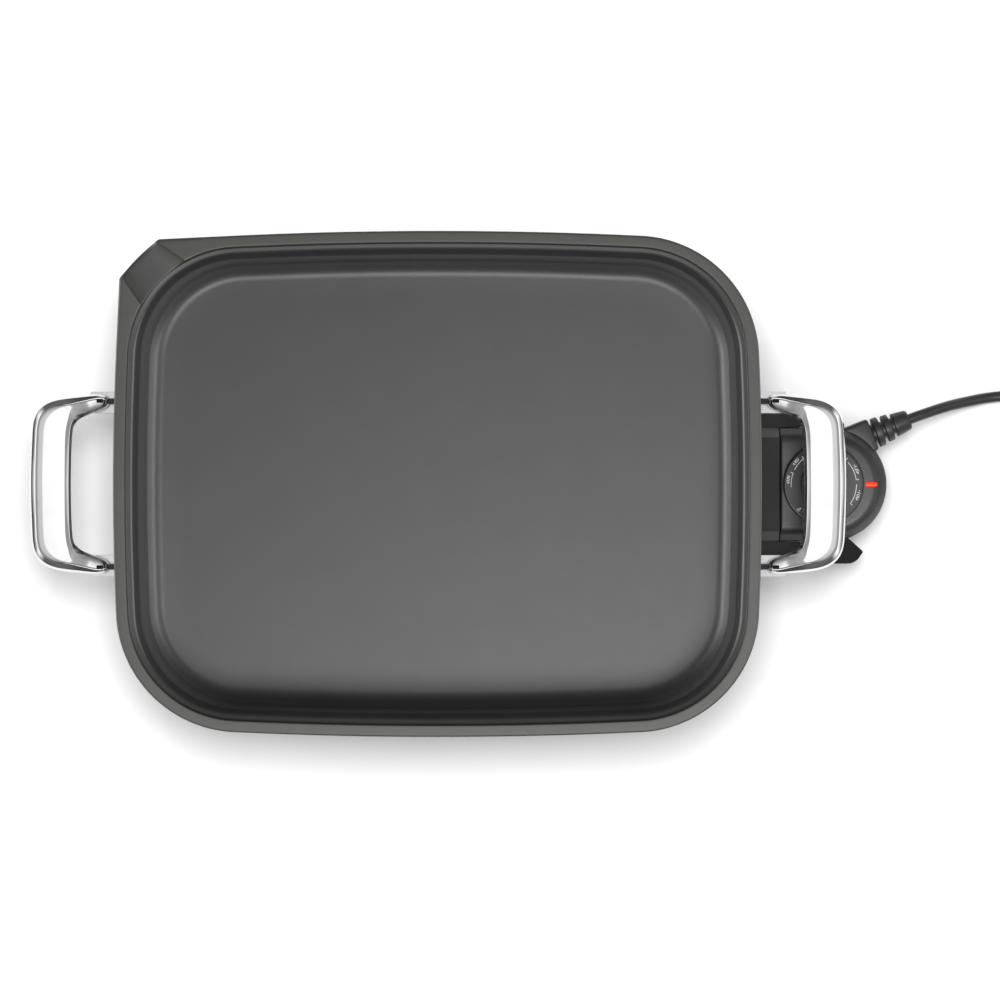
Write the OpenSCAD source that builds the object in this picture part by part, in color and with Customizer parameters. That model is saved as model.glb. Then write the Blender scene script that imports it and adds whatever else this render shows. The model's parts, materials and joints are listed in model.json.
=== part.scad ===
// Rectangular electric frypan: a cast non-stick vessel on two moulded legs, with chrome handles
// and a plug-in temperature control on a short cord. The vessel's centre is the design's own
// centre; from_pan() moves it to the frame's origin, the middle of the whole footprint on the table.

/* [Vessel] */
// Length over the rim flange
rim_length = 404; // [398:1:410]
// Width over the rim flange
rim_width = 315; // [308:1:322]
// Radius of the rim's corners
rim_corner = 77; // [72:1:82]
// Radius of the bow of the long sides
long_bow = 2700; // [2400:100:3200]
// Radius of the bow of the short sides
short_bow = 1800; // [1600:100:2200]
// Height of the rim above the table
rim_height = 108; // [106:1:112]
// Depth from the rim to the cooking surface
pan_depth = 70; // [68:1:71]
// Thickness of the vessel's floor
floor_thickness = 5; // [4.5:0.5:6]
// Width of the flat rim flange, up to the lid seat
flange_width = 7.2; // [6:0.2:8]
// Depth of the step that the lid sits in
seat_depth = 5; // [4:0.5:6]
// Radius of the pouring lip about the middle of its corner
lip_radius = 90; // [84:1:91]
// Depth of the pouring trough below the flange
trough_depth = 4.4; // [3:0.2:4.8]

/* [Handles] */
// Reach of the handles from the vessel's centre
handle_reach = 256.3; // [254:0.1:258]
// Width of the grip
grip_width = 26.5; // [24:0.5:28]
// Half the length of a handle
handle_half = 57; // [56:0.5:58]
// Height of the grip's top
grip_top = 97; // [94:1:100]
// Thickness of the grip
grip_thick = 13; // [11:1:14]

/* [Temperature control] */
// Distance of the seam between guard and control from the vessel's centre
seam = 218; // [217:0.5:219]
// Half the width of the control's body
body_half = 36.4; // [36:0.1:36.8]
// Distance of the body's round end's centre from the vessel's centre
end_centre = 250.8; // [250:0.1:252]
// Distance of the dial's axis from the vessel's centre
dial_x = 245.6; // [245:0.1:246.2]
// Radius of the dial
dial_radius = 25.8; // [24:0.1:26.4]
// Shell wall thickness
shell_wall = 2.4; // [2:0.1:2.8]
// Radius of the sensor tube
sensor_radius = 3.2; // [3:0.1:3.4]
// Radius of the terminal pins
pin_radius = 2.5; // [2:0.1:2.6]
// Distance of each terminal pin from the middle
pin_spread = 13; // [12:0.5:13.5]

/* [Cord] */
// Radius of the cord
cord_radius = 3.4; // [3.2:0.1:3.4]
// Mean radius of the cord's stored coil
coil_radius = 40; // [38:1:41]

/* [Legs] */
// Distance of the legs from the vessel's centre
leg_x = 169; // [166:1:170]
// Half the length of a leg
leg_half = 112; // [105:1:115]
// Width of a leg
leg_width = 18; // [16:1:20]
// Thickness of the rubber feet
foot_thick = 3; // [2:0.5:4]

/* [Hidden] */
$fn = 64;

// Heights that follow from the vessel
cook_height = rim_height - pan_depth;
underside = cook_height - floor_thickness;
rod_height = underside - 5;

// Footprint: the frame's origin is halfway between the left grip and the control's round end
control_reach = end_centre + body_half;
origin_x = (control_reach - handle_reach) / 2;

// Vessel section
arc_steps = 16;
side_steps = 4;
corner_fillet = 14;
cook_fillet = 20;
cook_edge = 29.3;
rim_edge = 6;

// Heating element path, about the vessel's centre
element_radius = 3.75;
element_bend = 20;
element_left = -120;
element_right = 100;
element_half = 85;
element_end = 196;
spreader_rib = 16;
spreader_depth = 10.5;

// Control body, about the rod's height
body_top = 18;
body_flat = 30;
shoulder = 10;
foot_flat = 32;
foot_shoulder = -12;
nose_half = 30;
nose_front = 206;
nose_back = 226;
nose_rise = 13;
socket_wall = 200;
relief_angle = 22;
relief_foot = [276.6, 31.5, 0];
relief_length = 28;
block_end = 2;
screw_places = [[231, 30.3], [231, -30.3], [272, -20]];
screw_radius = 1.5;

// Release trigger
pivot = [250, -29.5];
pivot_radius = 2;
trigger_low = -7;
trigger_high = 7;
plunger_y = -22;
plunger_tip = 202.2;
plunger_back = 249;
plunger_radius = 2.5;

// Fits
running_gap = 0.06;
loose_gap = 0.4;

// Cord route, about the vessel's centre, and the storage coil it ends in
lead_route = [
    [258.3, 24.1, 28], [262, 25.6, 28], [272, 29.64, 28], [283, 34, 28], [294, 38.5, 28], [304, 42.5, 28],
    [317, 47, 24.5], [330, 51, 17], [343, 54, 9.5], [356, 56.5, 4.5], [370, 58, 3.5],
    [386, 59, 3.5], [402, 59.4, 3.5]
];
coil_place = [417, 16];
tail_route = [
    [460.4, 14, 10.2], [460.4, 4, 10.4], [460.4, -6, 10.9], [460.4, -16, 11.4], [460.4, -26, 12]
];
cord_sides = 10;
plug_place = [460.4, -24, 12];

// ---- helpers ----

module from_pan() {
    translate([-origin_x, 0, 0]) children();
}

// Moves to the rod's height in the control, the level of its parting line
module at_rod() {
    from_pan() translate([0, 0, rod_height]) children();
}

module at_dial() {
    at_rod() translate([dial_x, 0, 0]) children();
}

module both_sides(mirrored) {
    for (side = [0, 1]) mirror(side * mirrored) children();
}

// A rod along +X from x = a to x = b
module rod_x(a, b, r) {
    translate([a, 0, 0]) rotate([0, 90, 0]) cylinder(h = b - a, r = r);
}

function unit(v) = v / norm(v);

// A polygon whose corners [x, y, radius] are rounded by arcs of the given radius
function rounded(corners, steps = 6) = [
    for (i = [0:len(corners) - 1])
        let (
            n = len(corners),
            c = [corners[i][0], corners[i][1]],
            before = corners[(i + n - 1) % n],
            after = corners[(i + 1) % n],
            a = unit([before[0], before[1]] - c),
            b = unit([after[0], after[1]] - c),
            half = acos(a * b) / 2,
            r = corners[i][2],
            middle = c + unit(a + b) * r / sin(half),
            start = c + a * r / tan(half) - middle,
            end = c + b * r / tan(half) - middle
        )
        each r == 0 ? [c] : [
            for (k = [0:steps])
                let (mix = unit(start * (steps - k) + end * k))
                middle + r * mix
        ]
];

// A round tube that follows a route, with n sides and one ring at each point
function heading(route, i) = unit(route[min(i + 1, len(route) - 1)] - route[max(i - 1, 0)]);
function ring(route, i, r, n) =
    let (t = heading(route, i), side = unit(cross(t, [0, 0, 1])), up = cross(side, t))
    [for (k = [0:n - 1]) route[i] + r * (cos(360 * k / n) * side + sin(360 * k / n) * up)];
module tube(route, r, n) {
    rings = len(route);
    polyhedron(
        points = [for (i = [0:rings - 1]) each ring(route, i, r, n)],
        faces = concat(
            [[for (k = [0:n - 1]) n - 1 - k]],
            [[for (k = [0:n - 1]) (rings - 1) * n + k]],
            [for (i = [0:rings - 2], k = [0:n - 1])
                let (a = i * n + k, b = i * n + (k + 1) % n) [a, b, b + n, a + n]]
        )
    );
}

// ---- vessel ----

// The rim's corner circle touches both bowed sides from inside; this is its centre
long_centre = [0, rim_width / 2 - long_bow];
short_centre = [rim_length / 2 - short_bow, 0];
function corner_centre() =
    let (
        reach_long = long_bow - rim_corner,
        reach_short = short_bow - rim_corner,
        apart = norm(short_centre - long_centre),
        along = (reach_long ^ 2 - reach_short ^ 2 + apart ^ 2) / (2 * apart),
        rise = sqrt(reach_long ^ 2 - along ^ 2),
        u = unit(short_centre - long_centre)
    )
    long_centre + along * u + rise * [u[1], -u[0]];
corner = corner_centre();
short_angle = atan2(corner[1], corner[0] - short_centre[0]);
long_angle = atan2(corner[1] - long_centre[1], corner[0]);

// One quarter of the rim, as [point, outward direction, how far round the corner in degrees]
function on_arc(centre, radius, angle, turn) =
    [centre + radius * [cos(angle), sin(angle)], [cos(angle), sin(angle)], turn];
quarter = concat(
    [for (i = [0:side_steps - 1])
        on_arc(short_centre, short_bow, short_angle * i / side_steps, -1)],
    [for (i = [0:arc_steps])
        let (angle = short_angle + (long_angle - short_angle) * i / arc_steps)
        on_arc(corner, rim_corner, angle, angle)],
    [for (i = [1:side_steps])
        on_arc(long_centre, long_bow, long_angle + (90 - long_angle) * i / side_steps, -1)]
);
function flip(v, x, y) = [v[0] * x, v[1] * y];
function part_of_rim(x, y, spout) = [
    for (i = [1:len(quarter) - 1])
        let (p = quarter[x * y > 0 ? i : len(quarter) - 1 - i])
        [flip(p[0], x, y), flip(p[1], x, y), spout ? p[2] : -1]
];
rim = concat(
    part_of_rim(1, 1, false), part_of_rim(-1, 1, true),
    part_of_rim(-1, -1, false), part_of_rim(1, -1, false)
);

// The spout's edge runs straight on from both sides of its corner, and the lip's arc cuts it off
function spout_reach(turn) =
    turn < 0 ? 0
    : min(rim_corner / cos(turn - short_angle), rim_corner / cos(long_angle - turn), lip_radius)
        - rim_corner;
// The trough narrows from the seat towards the lip
function trough_at(turn, outward) =
    turn < 0 ? 0 : min(1, max(0, (16 - 6 * outward - abs(turn - 45)) / 3 + 0.5));

// Vessel section from the middle of the underside, up outside, and down inside to the cooking
// surface: [distance in from the rim's edge, height, share of the spout's reach, share of its drop]
vessel_section = concat(
    [for (a = [0:15:75])
        [26 - corner_fillet * sin(a), underside + corner_fillet * (1 - cos(a)), 0, 0]],
    [
        [12, underside + corner_fillet, 0, 0],
        [10.4, rim_height - rim_edge - 5, 0, 0],
        [9, rim_height - rim_edge - 2.5, 0.1, 0],
        [1.2, rim_height - rim_edge - 1, 1, 0.8],
        [0, rim_height - rim_edge, 1, 0.8],
        [0, rim_height - 1.8, 1, 1],
        [0.6, rim_height - 0.5, 1, 1],
        [2, rim_height, 1, 1],
        [flange_width / 2 + 1, rim_height, 0.5, 1],
        [flange_width, rim_height, 0, 1],
        [flange_width + 0.3, rim_height - seat_depth, 0, 0],
        [flange_width + 2, rim_height - seat_depth - 0.5, 0, 0],
        [flange_width + 4, rim_height - seat_depth - 1.6, 0, 0],
        [flange_width + 5.6, rim_height - seat_depth - 4, 0, 0],
        [flange_width + 6.6, rim_height - seat_depth - 8, 0, 0]
    ],
    [for (a = [48:-8:0])
        [cook_edge - cook_fillet * sin(a), cook_height + cook_fillet * (1 - cos(a)), 0, 0]]
);

function vessel_point(s, p) =
    let (
        plan = p[0] + p[1] * (s[2] * spout_reach(p[2]) - s[0]),
        drop = trough_depth * s[3] * trough_at(p[2], s[2])
    )
    [plan[0], plan[1], s[1] - drop];

module cooking_vessel() {
    n = len(rim);
    last = (len(vessel_section) - 1) * n;
    color("dimgray") from_pan() polyhedron(
        points = [for (s = vessel_section, p = rim) vessel_point(s, p)],
        faces = concat(
            [[for (k = [0:n - 1]) k]],
            [[for (k = [0:n - 1]) last + n - 1 - k]],
            [for (i = [0:len(vessel_section) - 2], k = [0:n - 1])
                let (a = i * n + k, b = i * n + (k + 1) % n) [a, a + n, b + n, b]]
        )
    );
}

// ---- heating ----

// Sweeps a flat section along the heating element's hairpin loop
module along_element() {
    both_sides([0, 1, 0]) {
        leg_start = element_right + element_bend;
        translate([leg_start, pin_spread, 0]) rotate([90, 0, 90])
            linear_extrude(element_end - leg_start) children();
        translate([leg_start, pin_spread + element_bend, 0]) rotate([0, 0, 180])
            rotate_extrude(angle = 90) translate([element_bend, 0]) children();
        translate([element_right, pin_spread + element_bend, 0]) rotate([90, 0, 180])
            linear_extrude(element_half - pin_spread - 2 * element_bend) children();
        translate([element_right - element_bend, element_half - element_bend, 0])
            rotate_extrude(angle = 90) translate([element_bend, 0]) children();
        translate([element_left + element_bend, element_half, 0]) rotate([90, 0, 90])
            linear_extrude(element_right - element_left - 2 * element_bend) children();
        translate([element_left + element_bend, element_half - element_bend, 0])
            rotate([0, 0, 90]) rotate_extrude(angle = 90) translate([element_bend, 0]) children();
        translate([element_left, 0, 0]) rotate([90, 0, 180])
            linear_extrude(element_half - element_bend) children();
    }
}

module heating_element() {
    color("slategray") at_rod() along_element() circle(element_radius);
}

module heat_spreader() {
    well_front = 112;
    color("silver") at_rod() difference() {
        union() {
            intersection() {
                along_element() translate([-spreader_rib / 2, underside - rod_height - spreader_depth])
                    square([spreader_rib, spreader_depth]);
                translate([-200, -200, -20]) cube([390, 400, 40]);
            }
            translate([104, -7, underside - rod_height - spreader_depth])
                cube([86, 14, spreader_depth]);
        }
        along_element() circle(element_radius + 0.04);
        rod_x(well_front, 191, sensor_radius + running_gap);
    }
}

module terminal_pins() {
    color("gold") at_rod() both_sides([0, 1, 0]) translate([0, pin_spread, 0]) {
        rod_x(element_end, 224, pin_radius);
        translate([224, 0, 0]) sphere(pin_radius);
    }
}

module pin_insulators() {
    color("white") at_rod() both_sides([0, 1, 0]) translate([0, pin_spread, 0]) difference() {
        rod_x(element_end, 201, 4.6);
        rod_x(element_end - 1, 202, pin_radius + running_gap);
    }
}

// ---- handles ----

// Plan of the left handle, and its section across the grip and the root
handle_inner = handle_reach - grip_width;
bow_radius = 300;
bow_loss = 0.76;
handle_plan = [
    [-203.6, handle_half, 5], [-252.6, handle_half - 5, 14],
    [-handle_reach - bow_loss, 0, bow_radius],
    [-252.6, 5 - handle_half, 14], [-203.6, -handle_half, 5], [-203.6, -45, 5],
    [-216, -43.4, 12], [3 - handle_inner, -38.5, 5], [-handle_inner - bow_loss, 0, bow_radius],
    [3 - handle_inner, 38.5, 5], [-216, 43.4, 12], [-203.6, 45, 5]
];
root_low = 80;
root_y = 51.5;
root_hole_x = -210;
bracket_low = root_low - 16;
rivet_z = bracket_low + 7;
handle_side = [
    [-200, root_low, 0], [-219, root_low, 8], [-237, grip_top - grip_thick, 8],
    [-260, grip_top - grip_thick, 0], [-260, grip_top - 2, 0], [-230, grip_top, 12],
    [-215, root_low + 14.6, 12], [-200, root_low + 13.6, 0]
];

module handle() {
    difference() {
        intersection() {
            linear_extrude(rim_height) polygon(rounded(handle_plan));
            translate([0, 80, 0]) rotate([90, 0, 0]) linear_extrude(160)
                polygon(rounded(handle_side));
        }
        both_sides([0, 1, 0]) translate([root_hole_x, root_y, root_low - 1])
            cylinder(h = 9, r = 2.05);
    }
}

module left_handle() {
    color("gainsboro") from_pan() handle();
}

module right_handle() {
    color("gainsboro") from_pan() mirror([1, 0, 0]) handle();
}

module each_handle_root() {
    from_pan() both_sides([1, 0, 0]) both_sides([0, 1, 0]) translate([0, root_y, 0]) children();
}

// Channel under each handle root, open at the bottom and the outer end
module handle_brackets() {
    color("lightgray") each_handle_root() difference() {
        translate([-219, -6.75, bracket_low]) cube([28.7, 13.5, root_low - bracket_low]);
        translate([-220, -5.25, bracket_low - 1]) cube([28.2, 10.5, root_low - bracket_low - 0.5]);
        translate([root_hole_x, 0, root_low - 8]) cylinder(h = 10, r = 2.2);
        translate([0, 0, rivet_z]) rod_x(-195, -189, 2.6);
    }
}

module bracket_rivets() {
    color("lightgray") each_handle_root() translate([0, 0, rivet_z]) {
        rod_x(-193.6, -188.4, 2.5);
        rod_x(-193.6, -191.8, 4.4);
    }
}

module handle_screws() {
    color("lightgray") each_handle_root() translate([root_hole_x, 0, root_low - 4.5]) {
        cylinder(h = 12, r = 2);
        cylinder(h = 3, r = 3.8);
    }
}

// Heat-proof spacer on each bracket, between the handle's root and the vessel's wall
module root_spacers() {
    color("#1d1d1c") each_handle_root() translate([-203.6, -2.5, root_low]) cube([12, 5, 10]);
}

// ---- legs ----

leg_top = underside - 2;
stud_y = 70;
foot_y = leg_half - 9;

module leg_beam(x) {
    outline = rounded([
        [-leg_half, leg_top, 3], [-leg_half, foot_thick, 3], [18 - leg_half, foot_thick, 3],
        [26 - leg_half, leg_top - 9, 6], [leg_half - 26, leg_top - 9, 6],
        [leg_half - 18, foot_thick, 3], [leg_half, foot_thick, 3], [leg_half, leg_top, 3]
    ]);
    difference() {
        translate([x - leg_width / 2, 0, 0]) rotate([90, 0, 90]) linear_extrude(leg_width)
            polygon(outline);
        both_sides([0, 1, 0]) {
            translate([x, stud_y, 0]) cylinder(h = 40, r = 2.2);
            translate([x, stud_y, 0]) cylinder(h = leg_top - 4, r = 5.4);
            translate([x, foot_y, 0]) cylinder(h = foot_thick + 6, r = 2.6);
        }
    }
}

module left_leg() {
    color("#2b2b29") from_pan() leg_beam(-leg_x);
}

// The guard: a hood of the control's own section, closed at the back, between two guide wings
module guard_hood() {
    difference() {
        translate([socket_wall - 4, 0, 0]) rotate([90, 0, 90])
            linear_extrude(seam - socket_wall + 3.7) polygon(body_section(0));
        translate([socket_wall, -nose_half - 1, -nose_rise - 1])
            cube([30, 2 * nose_half + 2, 2 * nose_rise + 2]);
        both_sides([0, 1, 0]) translate([0, pin_spread, 0]) rod_x(190, 202, 4.9);
        rod_x(190, 202, sensor_radius + 1);
    }
}

wing_plan = rounded([
    [196, 36.9, 0], [233, 36.9, 2], [236, 40.5, 2], [232.5, 45.4, 2], [196, 45.4, 0]
]);

module right_leg_guard() {
    color("#2b2b29") {
        difference() {
            from_pan() leg_beam(leg_x);
            // Gap for the heater's two ends and the sensor well
            at_rod() translate([leg_x - leg_width, -24, -14]) cube([2 * leg_width, 48, 30]);
        }
        at_rod() {
            guard_hood();
            both_sides([0, 1, 0]) {
                translate([0, 0, -15]) linear_extrude(21) polygon(wing_plan);
                translate([196, 30, -15]) cube([21.7, 7, 21]);
                translate([leg_x, 30, -18]) cube([socket_wall - leg_x, 6, 21]);
            }
            translate([leg_x - 8, -36, -18]) cube([socket_wall - leg_x + 8, 72, 4]);
        }
    }
}

module each_stud() {
    from_pan() both_sides([1, 0, 0]) both_sides([0, 1, 0]) translate([leg_x, stud_y, 0]) children();
}

module heat_washers() {
    color("white") each_stud() translate([0, 0, leg_top]) difference() {
        cylinder(h = underside - leg_top, r = 8);
        translate([0, 0, -1]) cylinder(h = 10, r = 2.2);
    }
}

module leg_studs() {
    color("silver") each_stud() translate([0, 0, leg_top - 9]) cylinder(h = 9 + underside - leg_top, r = 2);
}

module leg_nuts() {
    color("silver") each_stud() translate([0, 0, leg_top - 7.2]) difference() {
        cylinder(h = 3.2, r = 4, $fn = 6);
        translate([0, 0, -1]) cylinder(h = 6, r = 2.05);
    }
}

module rubber_feet() {
    color("#181818") from_pan() both_sides([1, 0, 0]) both_sides([0, 1, 0])
        translate([leg_x, foot_y, 0]) {
            cylinder(h = foot_thick, r = 8);
            cylinder(h = foot_thick + 5, r = 2.5);
        }
}

// ---- control body ----

// Half of the body's section, from the middle of its top round to the middle of its bottom
function half_section(inset) = [
    [0, body_top - inset], [body_flat - 0.4 * inset, body_top - inset],
    [body_half - inset, shoulder - 0.4 * inset], [body_half - inset, foot_shoulder + 0.5 * inset],
    [foot_flat - 0.5 * inset, inset - body_top], [0, inset - body_top]
];
function body_section(inset) = concat(
    half_section(inset),
    [for (i = [len(half_section(inset)) - 2:-1:1])
        [-half_section(inset)[i][0], half_section(inset)[i][1]]]
);

// The control's body as a solid, drawn in by inset: a straight part, a round end, a cord block
module body_form(inset) {
    translate([seam + inset, 0, 0]) rotate([90, 0, 90])
        linear_extrude(end_centre - seam - inset) polygon(body_section(inset));
    translate([end_centre, 0, 0]) rotate([0, 0, -90]) rotate_extrude(angle = 180)
        polygon(half_section(inset));
    block = 10.6 - inset;
    translate(relief_foot) rotate([0, 0, relief_angle])
        translate([-24, -block, -block]) cube([24 + block_end - inset, 2 * block, 2 * block]);
}

// Shell walls and the bosses for the screws and the trigger's pin, before they are split
module shell_walls() {
    difference() {
        body_form(0);
        difference() {
            body_form(shell_wall);
            for (place = screw_places) translate(place) translate([0, 0, -20]) cylinder(h = 40, r = 4);
            translate(pivot) for (low = [-20, trigger_high + 4]) translate([0, 0, low])
                cylinder(h = low < 0 ? trigger_low + 19 : 10, r = 3.8);
        }
        // Mouth for the nose
        translate([seam - 1, -nose_half - 0.2, -nose_rise - 0.2])
            cube([8, 2 * nose_half + 0.4, 2 * nose_rise + 0.4]);
        // Slot for the trigger
        translate([pivot[0] - 13, -40, trigger_low - 0.6])
            cube([30, 9.6, trigger_high - trigger_low + 1.2]);
        // Way out for the cord's strain relief
        translate(relief_foot) rotate([0, 0, relief_angle]) rod_x(-12, block_end + 1, 7.1);
        translate(pivot) translate([0, 0, -15.5]) cylinder(h = 31, r = pivot_radius);
    }
}

module probe_upper_shell() {
    color("#3a3a38") at_rod() difference() {
        intersection() {
            shell_walls();
            translate([200, -50, 0]) cube([100, 100, 30]);
        }
        translate([dial_x, 0, 0]) cylinder(h = 30, r = 4.6);
        translate([272.4, -1.6, 10]) cube([8, 3.2, 10]);
        for (place = screw_places) translate(place) cylinder(h = 10, r = screw_radius + 0.02);
    }
}

module probe_lower_shell() {
    color("#3a3a38") at_rod() difference() {
        intersection() {
            shell_walls();
            translate([200, -50, -30]) cube([100, 100, 30]);
        }
        for (place = screw_places) translate(place) {
            translate([0, 0, -30]) cylinder(h = 40, r = screw_radius + 0.1);
            translate([0, 0, -30]) cylinder(h = 17, r = 3);
        }
        translate(relief_foot) rotate([0, 0, relief_angle]) translate([-15, 0, 0])
            both_sides([0, 1, 0]) translate([0, clamp_spread, -9.7]) cylinder(h = 3, r = 1.52);
    }
}

module probe_nose() {
    color("#1d1d1c") at_rod() difference() {
        translate([nose_front, -nose_half, -nose_rise])
            cube([nose_back - nose_front, 2 * nose_half, 2 * nose_rise]);
        both_sides([0, 1, 0]) translate([0, pin_spread, 0]) {
            rod_x(nose_front - 1, nose_front + 2, 3.4);
            rod_x(nose_front + 1, nose_back + 1, 4.25);
        }
        rod_x(nose_front - 1, nose_back + 1, sensor_radius + 0.02);
        translate([0, plunger_y, 0]) rod_x(nose_front - 1, nose_back + 1, plunger_radius + running_gap);
    }
}

module sensor_tube() {
    color("silver") at_rod() difference() {
        union() {
            rod_x(118 + sensor_radius, 228, sensor_radius);
            translate([118 + sensor_radius, 0, 0]) sphere(sensor_radius);
        }
        rod_x(122, 229, 1.6);
    }
}

module transfer_rod() {
    color("peru") at_rod() rod_x(122, 232.4, 1.3);
}

module terminal_receptacles() {
    color("goldenrod") at_rod() both_sides([0, 1, 0]) translate([0, pin_spread, 0]) difference() {
        rod_x(nose_front + 2, 231, 4.2);
        rod_x(nose_front + 1, 228, pin_radius + 0.08);
    }
}

// ---- thermostat ----

frame_top = 6;
frame_sheet = 1.2;
stack_x = 268;

module thermostat_frame() {
    half = 12;
    foot = shell_wall - body_top;
    color("lightsteelblue") at_rod() difference() {
        union() {
            translate([236, -half, frame_top]) cube([24, 2 * half, frame_sheet]);
            both_sides([0, 1, 0]) {
                translate([236, half - frame_sheet, foot]) cube([24, frame_sheet, frame_top - foot + 1]);
                translate([236, half - 0.1, foot]) cube([24, 5, frame_sheet]);
            }
        }
        translate([dial_x, 0, 0]) cylinder(h = 10, r = 4.05);
    }
}

module shaft_bushing() {
    color("goldenrod") at_dial() difference() {
        union() {
            translate([0, 0, frame_top - 3]) cylinder(h = 10, r = 4);
            translate([0, 0, frame_top + frame_sheet]) cylinder(h = 1.6, r = 6.5);
        }
        translate([0, 0, -1]) cylinder(h = 20, r = 3 + running_gap);
    }
}

// The leaf that the dial and the sensor both push on, with its silver button
module moving_contact() {
    color("darkgoldenrod") at_rod() difference() {
        union() {
            translate([233, -4, -6]) cube([41, 8, 0.6]);
            translate([233, -4, -6]) cube([0.6, 8, 9]);
            translate([240, 0, -7]) cylinder(h = 1.5, r = 2);
        }
        translate([stack_x, 0, -10]) cylinder(h = 10, r = 2.1);
    }
}

module fixed_contact() {
    color("darkgoldenrod") at_rod() difference() {
        union() {
            translate([237, -4, -9]) cube([40, 8, 0.8]);
            translate([240, 0, -8.2]) cylinder(h = 1, r = 2);
        }
        translate([stack_x, 0, -12]) cylinder(h = 10, r = 2.1);
    }
}

module contact_insulators() {
    color("ivory") at_rod() translate([stack_x, 0, 0]) {
        for (layer = [[-15.6, 6.6], [-8.2, 2.2], [-5.4, 2.4]]) difference() {
            translate([-5, -5, layer[0]]) cube([10, 10, layer[1]]);
            translate([0, 0, layer[0] - 1]) cylinder(h = layer[1] + 2, r = 2.1);
        }
    }
}

module stack_screw() {
    color("silver") at_rod() translate([stack_x, 0, 0]) {
        translate([0, 0, -15.4]) cylinder(h = 14, r = 1.9);
        translate([0, 0, -3]) cylinder(h = 2, r = 3.6);
    }
}

module push_bead() {
    color("ivory") at_dial() translate([0, 0, -5.4]) cylinder(h = 1.9, r = 1.5);
}

module dial_shaft() {
    color("silver") at_dial() translate([0, 0, -3.5]) cylinder(h = 30.5, r = 3);
}

module dial() {
    color("#2e2e2d") at_dial() difference() {
        union() {
            translate([0, 0, body_top + loose_gap]) cylinder(h = 3.4, r = dial_radius);
            translate([0, 0, body_top + loose_gap + 3.4])
                cylinder(h = 0.8, r1 = dial_radius, r2 = dial_radius - 0.8);
        }
        cylinder(h = 40, r = 3.02);
    }
}

module dial_grip() {
    base = body_top + loose_gap + 4.2;
    color("#161616") at_dial() difference() {
        union() {
            translate([0, 0, base]) cylinder(h = 3, r = 15);
            intersection() {
                translate([-15, -4.5, base]) cube([30, 9, 9]);
                translate([0, 0, base]) cylinder(h = 9, r = 15);
            }
        }
        cylinder(h = base + 4.6, r = 3.02);
    }
}

module indicator_lamp() {
    color("orangered") at_rod() translate([0, 0, 11.4]) rod_x(267, 277.5, 2.1);
}

module lamp_lens() {
    color("red") at_rod() {
        translate([272.5, -1.5, body_top - shell_wall]) cube([7.8, 3, shell_wall + 0.3]);
        translate([271.5, -2.6, body_top - shell_wall - 0.9]) cube([7.2, 5.2, 0.9]);
    }
}

// Insulated leads from the cord's inner end to the two receptacles and the fixed contact's terminal
lead_routes = [
    [[257.1, 25, -1.4], [252, 23.6, -3], [245, 20, -3], [238, 15, -2], [234, 13, 0], [231.05, 13, 0]],
    [[257, 21.8, -1.6], [257.5, 17.5, -6], [264, 13.5, -8.6], [275.4, 8.5, -8.6], [275.4, 4.1, -8.6]],
    [
        [256.8, 23.2, 2], [256.4, 17, 9.6], [256, 0, 10.6], [250, -12, 10], [240, -15.5, 7],
        [234.6, -13, 1], [231.05, -13, 1]
    ]
];
module internal_leads() {
    color("firebrick") at_rod() for (route = lead_routes) tube(route, 1, 8);
}

clamp_spread = 5.5;

module at_clamp() {
    at_rod() translate(relief_foot) rotate([0, 0, relief_angle]) translate([-15, 0, 0]) children();
}

module cord_clamp() {
    color("#3a3a38") at_clamp() difference() {
        translate([-2.4, -8, cord_radius + 0.1]) cube([4.8, 16, 3]);
        both_sides([0, 1, 0]) translate([0, clamp_spread, 0]) cylinder(h = 10, r = 1.6);
    }
}

module clamp_screws() {
    color("silver") at_clamp() both_sides([0, 1, 0]) translate([0, clamp_spread, 0]) {
        translate([0, 0, -9.6]) cylinder(h = cord_radius + 12.7, r = 1.5);
        translate([0, 0, cord_radius + 3.1]) cylinder(h = 1.2, r = 2.2);
    }
}

module shell_screws() {
    color("silver") at_rod() for (place = screw_places) translate(place) {
        translate([0, 0, -13]) cylinder(h = 22, r = screw_radius);
        translate([0, 0, -15.4]) cylinder(h = 2.4, r = 2.8);
    }
}

// ---- release trigger ----

trigger_plan = rounded([
    [262.3, -34.1, 1], [272.4, -43.2, 1.2], [267, -50.9, 9], [253, -50.9, 5], [242, -44.5, 4],
    [238.6, -38.2, 1.5], [246, -37.2, 0], [247, -31, 0], [253, -29, 0], [256, -34.8, 2]
]);

// The lever's finger pad and pivot eye, with the nose that pushes the plunger
module trigger() {
    color("#101010") at_rod() translate([0, 0, trigger_low]) {
        linear_extrude(trigger_high - trigger_low) difference() {
            union() {
                polygon(trigger_plan);
                translate(pivot) circle(4.4);
            }
            translate(pivot) circle(pivot_radius + running_gap);
        }
        translate([0, 0, 3]) linear_extrude(8) {
            polygon([[250.2, -26], [253.2, -27.5], [252.4, -22], [249.9, -22]]);
            translate([251, plunger_y]) circle(1.5);
        }
    }
}

module trigger_pin() {
    color("silver") at_rod() translate(pivot) translate([0, 0, -15.4])
        cylinder(h = 30.8, r = pivot_radius - 0.01);
}

module ejector_plunger() {
    color("#d8d8d0") at_rod() translate([0, plunger_y, 0]) {
        rod_x(plunger_tip, plunger_back, plunger_radius);
        rod_x(240, 241.6, 4.6);
    }
}

// A helical spring of wire, with n points a turn
function helix(r, height, turns, n) = [
    for (i = [0:turns * n]) [r * cos(360 * i / n), r * sin(360 * i / n), height * i / (turns * n)]
];

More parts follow.
